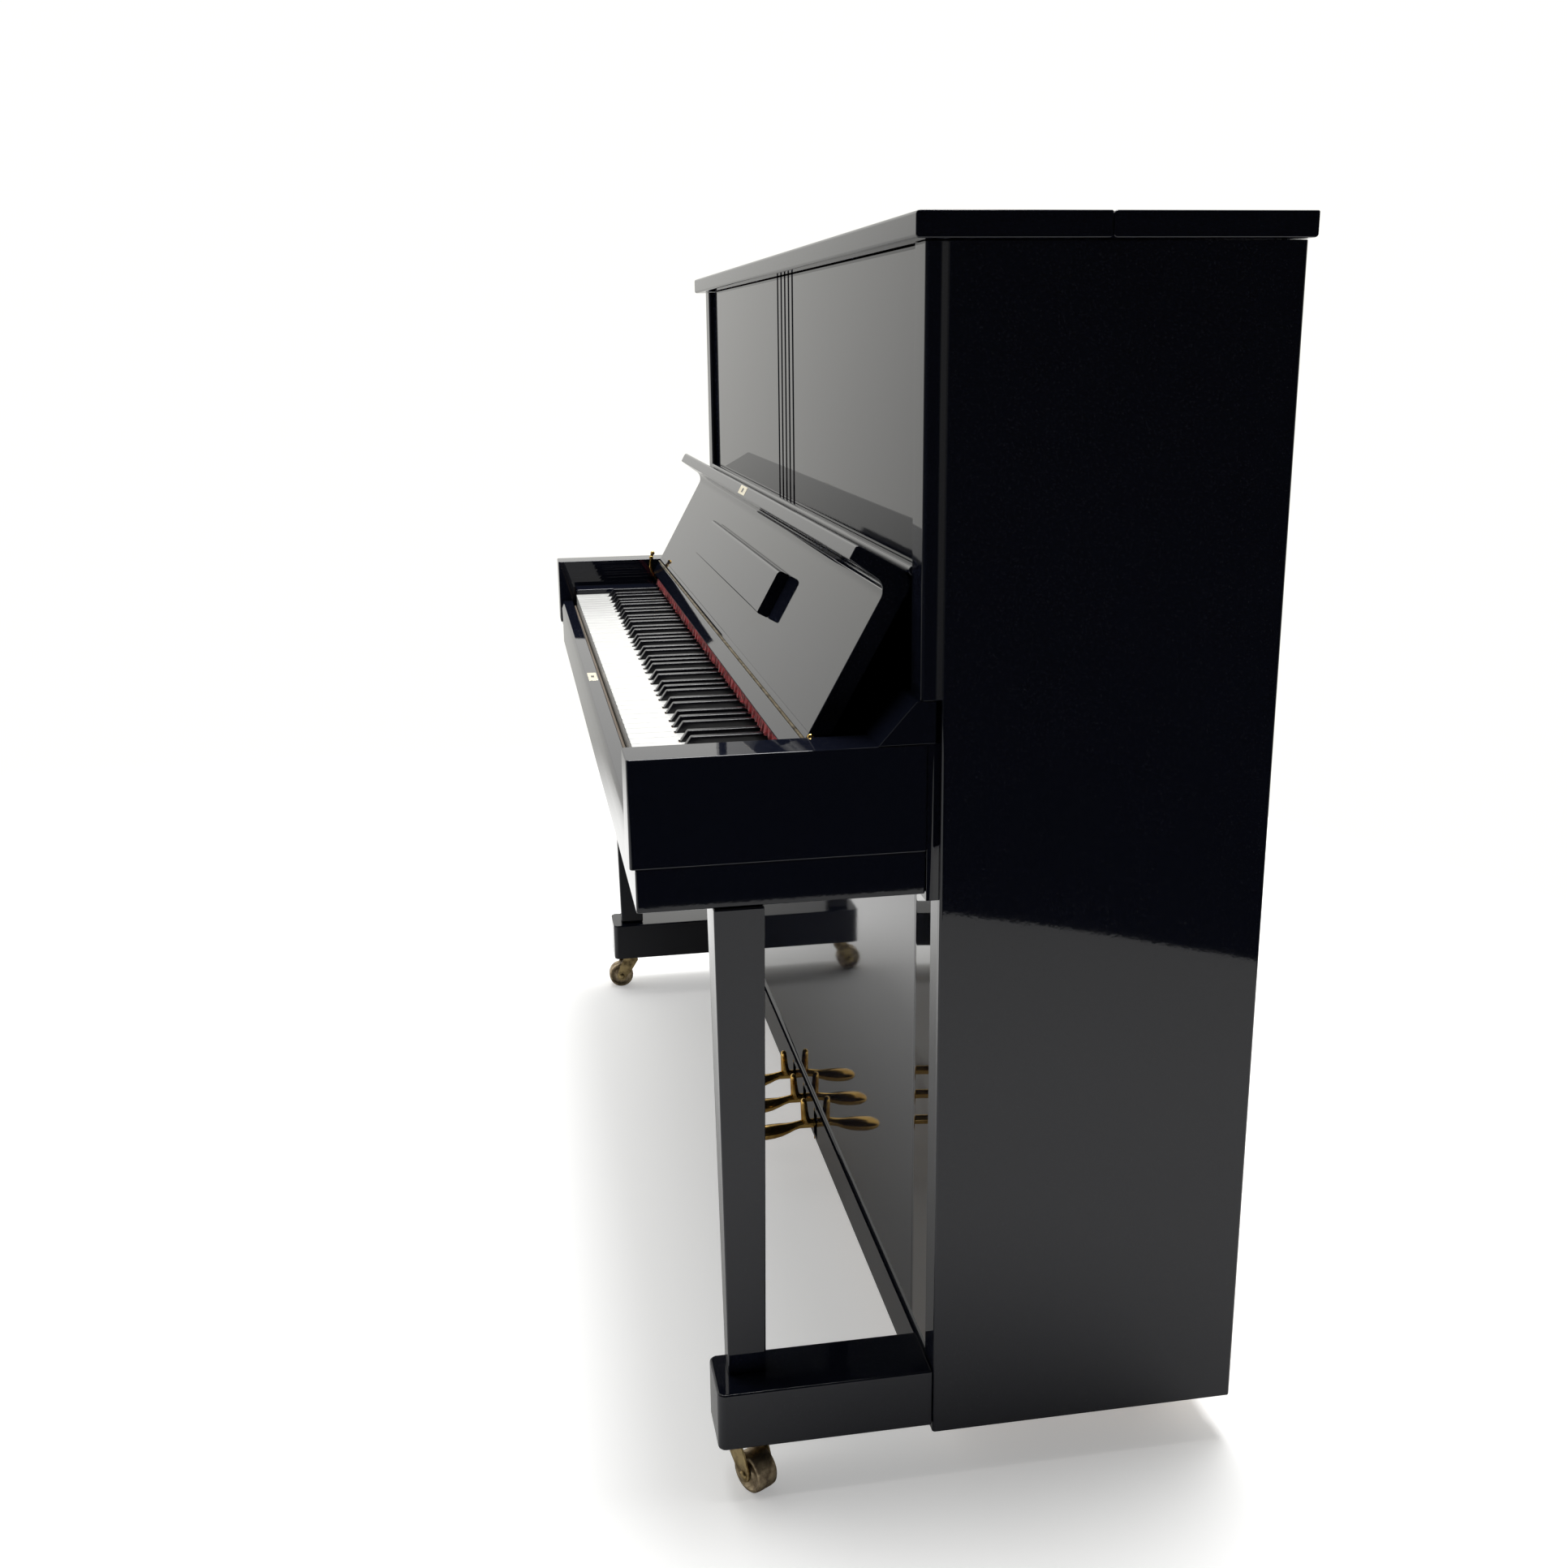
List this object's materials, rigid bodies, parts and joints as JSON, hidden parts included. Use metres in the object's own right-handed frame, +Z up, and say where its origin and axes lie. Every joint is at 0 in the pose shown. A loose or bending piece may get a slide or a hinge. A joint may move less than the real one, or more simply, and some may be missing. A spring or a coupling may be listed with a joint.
{
  "type": "upright piano",
  "caption": "Upright piano in black lacquer with folding lid, hinged fallboard and music shelf, keyboard, pedals and swivel casters.",
  "frame": {"origin": "on the floor under the middle of the case", "axes": "+X treble end, -Y towards the player, +Z up"},
  "size_m": [1.464, 0.602, 1.218],
  "materials": {
    "ebony_lacquer": "black high-gloss polyester lacquer on wood",
    "spruce": "bare spruce, clear sealed",
    "beech": "bare laminated beech",
    "gilt_iron": "cast iron, bronze paint",
    "steel_wire": "drawn steel music wire",
    "polished_brass": "polished brass",
    "aged_brass": "aged brass plate",
    "caster_wheel": "worn cast brass tread",
    "white_key_tops": "white acrylic key tops on spruce sticks",
    "black_key_tops": "satin black key tops",
    "red_felt": "red wool felt",
    "white_felt": "white wool felt"
  },
  "bodies": {
    "case": {"side_panel_left": "ebony_lacquer", "side_panel_right": "ebony_lacquer", "back_frame": "spruce", "soundboard": "spruce", "pin_block": "beech", "iron_plate": "gilt_iron", "strings": "steel_wire", "bottom_board": "spruce", "bottom_rail": "ebony_lacquer", "lower_panel": "ebony_lacquer", "upper_panel": "ebony_lacquer", "panel_moulding": "ebony_lacquer", "lid_rear": "ebony_lacquer", "keybed": "ebony_lacquer", "arm_left": "ebony_lacquer", "arm_right": "ebony_lacquer", "fall_rail": "ebony_lacquer", "leg_left": "ebony_lacquer", "leg_right": "ebony_lacquer", "toe_block_left": "ebony_lacquer", "toe_block_right": "ebony_lacquer", "key_slip": "ebony_lacquer", "key_frame": "beech", "key_block_left": "ebony_lacquer", "key_block_right": "ebony_lacquer", "name_rail": "ebony_lacquer", "name_felt": "red_felt", "hinge_strip": "polished_brass", "white_keys": "white_key_tops", "black_keys": "black_key_tops", "action_frame": "beech"},
    "lid_front": {"lid_front": "ebony_lacquer"},
    "fallboard": {"fallboard": "ebony_lacquer"},
    "music_shelf": {"music_shelf": "ebony_lacquer"},
    "hammers": {"hammers": "white_felt"},
    "dampers": {"dampers": "white_felt"},
    "mute_rail": {"mute_rail": "red_felt"},
    "key_C4": {"key_C4": "white_key_tops"},
    "key_Cs4": {"key_Cs4": "black_key_tops"},
    "key_D4": {"key_D4": "white_key_tops"},
    "key_Ds4": {"key_Ds4": "black_key_tops"},
    "key_E4": {"key_E4": "white_key_tops"},
    "key_F4": {"key_F4": "white_key_tops"},
    "key_Fs4": {"key_Fs4": "black_key_tops"},
    "key_G4": {"key_G4": "white_key_tops"},
    "key_Gs4": {"key_Gs4": "black_key_tops"},
    "key_A4": {"key_A4": "white_key_tops"},
    "key_As4": {"key_As4": "black_key_tops"},
    "key_B4": {"key_B4": "white_key_tops"},
    "pedal_left": {"pedal_left": "polished_brass"},
    "pedal_middle": {"pedal_middle": "polished_brass"},
    "pedal_right": {"pedal_right": "polished_brass"},
    "caster_front_right_fork": {"caster_front_right_fork": "aged_brass"},
    "caster_front_right_wheel": {"caster_front_right_wheel": "caster_wheel"},
    "caster_front_left_fork": {"caster_front_left_fork": "aged_brass"},
    "caster_front_left_wheel": {"caster_front_left_wheel": "caster_wheel"},
    "caster_rear_right_fork": {"caster_rear_right_fork": "aged_brass"},
    "caster_rear_right_wheel": {"caster_rear_right_wheel": "caster_wheel"},
    "caster_rear_left_fork": {"caster_rear_left_fork": "aged_brass"},
    "caster_rear_left_wheel": {"caster_rear_left_wheel": "caster_wheel"}
  },
  "joints": [
    {"name": "lid_fold", "type": "hinge", "parent": "case", "child": "lid_front", "pos_m": [0, 0.11635, 1.218], "axis": [-1, 0, 0], "range_deg": [0, 176]},
    {"name": "fallboard_hinge", "type": "hinge", "parent": "case", "child": "fallboard", "pos_m": [0, -0.128, 0.768], "axis": [-1, 0, 0], "range_deg": [-126, 0]},
    {"name": "music_shelf_hinge", "type": "hinge", "parent": "fallboard", "child": "music_shelf", "pos_m": [0, -0.10432, 0.81547], "axis": [1, 0, 0], "range_deg": [0, 90]},
    {"name": "key_C4_hinge", "type": "hinge", "parent": "case", "child": "key_C4", "pos_m": [0, -0.02, 0.695], "axis": [1, 0, 0], "range_deg": [0, 2.2], "stiffness_Nm_per_rad": 3, "springref_deg": -6.88},
    {"name": "key_Cs4_hinge", "type": "hinge", "parent": "case", "child": "key_Cs4", "pos_m": [0, -0.02, 0.695], "axis": [1, 0, 0], "range_deg": [0, 2.2], "stiffness_Nm_per_rad": 3, "springref_deg": -6.88},
    {"name": "key_D4_hinge", "type": "hinge", "parent": "case", "child": "key_D4", "pos_m": [0, -0.02, 0.695], "axis": [1, 0, 0], "range_deg": [0, 2.2], "stiffness_Nm_per_rad": 3, "springref_deg": -6.88},
    {"name": "key_Ds4_hinge", "type": "hinge", "parent": "case", "child": "key_Ds4", "pos_m": [0, -0.02, 0.695], "axis": [1, 0, 0], "range_deg": [0, 2.2], "stiffness_Nm_per_rad": 3, "springref_deg": -6.88},
    {"name": "key_E4_hinge", "type": "hinge", "parent": "case", "child": "key_E4", "pos_m": [0, -0.02, 0.695], "axis": [1, 0, 0], "range_deg": [0, 2.2], "stiffness_Nm_per_rad": 3, "springref_deg": -6.88},
    {"name": "key_F4_hinge", "type": "hinge", "parent": "case", "child": "key_F4", "pos_m": [0, -0.02, 0.695], "axis": [1, 0, 0], "range_deg": [0, 2.2], "stiffness_Nm_per_rad": 3, "springref_deg": -6.88},
    {"name": "key_Fs4_hinge", "type": "hinge", "parent": "case", "child": "key_Fs4", "pos_m": [0, -0.02, 0.695], "axis": [1, 0, 0], "range_deg": [0, 2.2], "stiffness_Nm_per_rad": 3, "springref_deg": -6.88},
    {"name": "key_G4_hinge", "type": "hinge", "parent": "case", "child": "key_G4", "pos_m": [0, -0.02, 0.695], "axis": [1, 0, 0], "range_deg": [0, 2.2], "stiffness_Nm_per_rad": 3, "springref_deg": -6.88},
    {"name": "key_Gs4_hinge", "type": "hinge", "parent": "case", "child": "key_Gs4", "pos_m": [0, -0.02, 0.695], "axis": [1, 0, 0], "range_deg": [0, 2.2], "stiffness_Nm_per_rad": 3, "springref_deg": -6.88},
    {"name": "key_A4_hinge", "type": "hinge", "parent": "case", "child": "key_A4", "pos_m": [0, -0.02, 0.695], "axis": [1, 0, 0], "range_deg": [0, 2.2], "stiffness_Nm_per_rad": 3, "springref_deg": -6.88},
    {"name": "key_As4_hinge", "type": "hinge", "parent": "case", "child": "key_As4", "pos_m": [0, -0.02, 0.695], "axis": [1, 0, 0], "range_deg": [0, 2.2], "stiffness_Nm_per_rad": 3, "springref_deg": -6.88},
    {"name": "key_B4_hinge", "type": "hinge", "parent": "case", "child": "key_B4", "pos_m": [0, -0.02, 0.695], "axis": [1, 0, 0], "range_deg": [0, 2.2], "stiffness_Nm_per_rad": 3, "springref_deg": -6.88},
    {"name": "pedal_left_hinge", "type": "hinge", "parent": "case", "child": "pedal_left", "pos_m": [0, 0.055, 0.079], "axis": [1, 0, 0], "range_deg": [0, 6.5], "stiffness_Nm_per_rad": 20, "springref_deg": -6.88},
    {"name": "pedal_middle_hinge", "type": "hinge", "parent": "case", "child": "pedal_middle", "pos_m": [0, 0.055, 0.079], "axis": [1, 0, 0], "range_deg": [0, 6.5], "stiffness_Nm_per_rad": 20, "springref_deg": -6.88},
    {"name": "pedal_right_hinge", "type": "hinge", "parent": "case", "child": "pedal_right", "pos_m": [0, 0.055, 0.079], "axis": [1, 0, 0], "range_deg": [0, 6.5], "stiffness_Nm_per_rad": 20, "springref_deg": -6.88},
    {"name": "hammer_rail_hinge", "type": "hinge", "parent": "case", "child": "hammers", "pos_m": [0, 0.066, 0.85], "axis": [-1, 0, 0], "range_deg": [0, 6.5]},
    {"name": "mute_rail_drop", "type": "slide", "parent": "case", "child": "mute_rail", "axis": [0, 0, -1], "range_m": [0, 0.03]},
    {"name": "damper_lift", "type": "hinge", "parent": "case", "child": "dampers", "pos_m": [0, 0.148, 0.85], "axis": [1, 0, 0], "range_deg": [0, 4]},
    {"name": "caster_front_right_swivel", "type": "hinge", "parent": "case", "child": "caster_front_right_fork", "pos_m": [0.676, -0.205, 0], "axis": [0, 0, 1], "continuous": true},
    {"name": "caster_front_right_roll", "type": "hinge", "parent": "caster_front_right_fork", "child": "caster_front_right_wheel", "pos_m": [0.69159, -0.196, 0.021], "axis": [-0.5, 0.866, 0], "continuous": true},
    {"name": "caster_front_left_swivel", "type": "hinge", "parent": "case", "child": "caster_front_left_fork", "pos_m": [-0.676, -0.205, 0], "axis": [0, 0, 1], "continuous": true},
    {"name": "caster_front_left_roll", "type": "hinge", "parent": "caster_front_left_fork", "child": "caster_front_left_wheel", "pos_m": [-0.676, -0.223, 0.021], "axis": [1, 0, 0], "continuous": true},
    {"name": "caster_rear_right_swivel", "type": "hinge", "parent": "case", "child": "caster_rear_right_fork", "pos_m": [0.6, 0.24, 0], "axis": [0, 0, 1], "continuous": true},
    {"name": "caster_rear_right_roll", "type": "hinge", "parent": "caster_rear_right_fork", "child": "caster_rear_right_wheel", "pos_m": [0.609, 0.25559, 0.021], "axis": [-0.866, 0.5, 0], "continuous": true},
    {"name": "caster_rear_left_swivel", "type": "hinge", "parent": "case", "child": "caster_rear_left_fork", "pos_m": [-0.6, 0.24, 0], "axis": [0, 0, 1], "continuous": true},
    {"name": "caster_rear_left_roll", "type": "hinge", "parent": "caster_rear_left_fork", "child": "caster_rear_left_wheel", "pos_m": [-0.6, 0.258, 0.021], "axis": [-1, 0, 0], "continuous": true}
  ],
  "couplings": [
    {"joint": "hammer_rail_hinge", "follows": "pedal_left_hinge", "ratio": 1},
    {"joint": "mute_rail_drop", "follows": "pedal_middle_hinge", "m_per_rad": 0.26},
    {"joint": "damper_lift", "follows": "pedal_right_hinge", "ratio": 0.6}
  ]
}
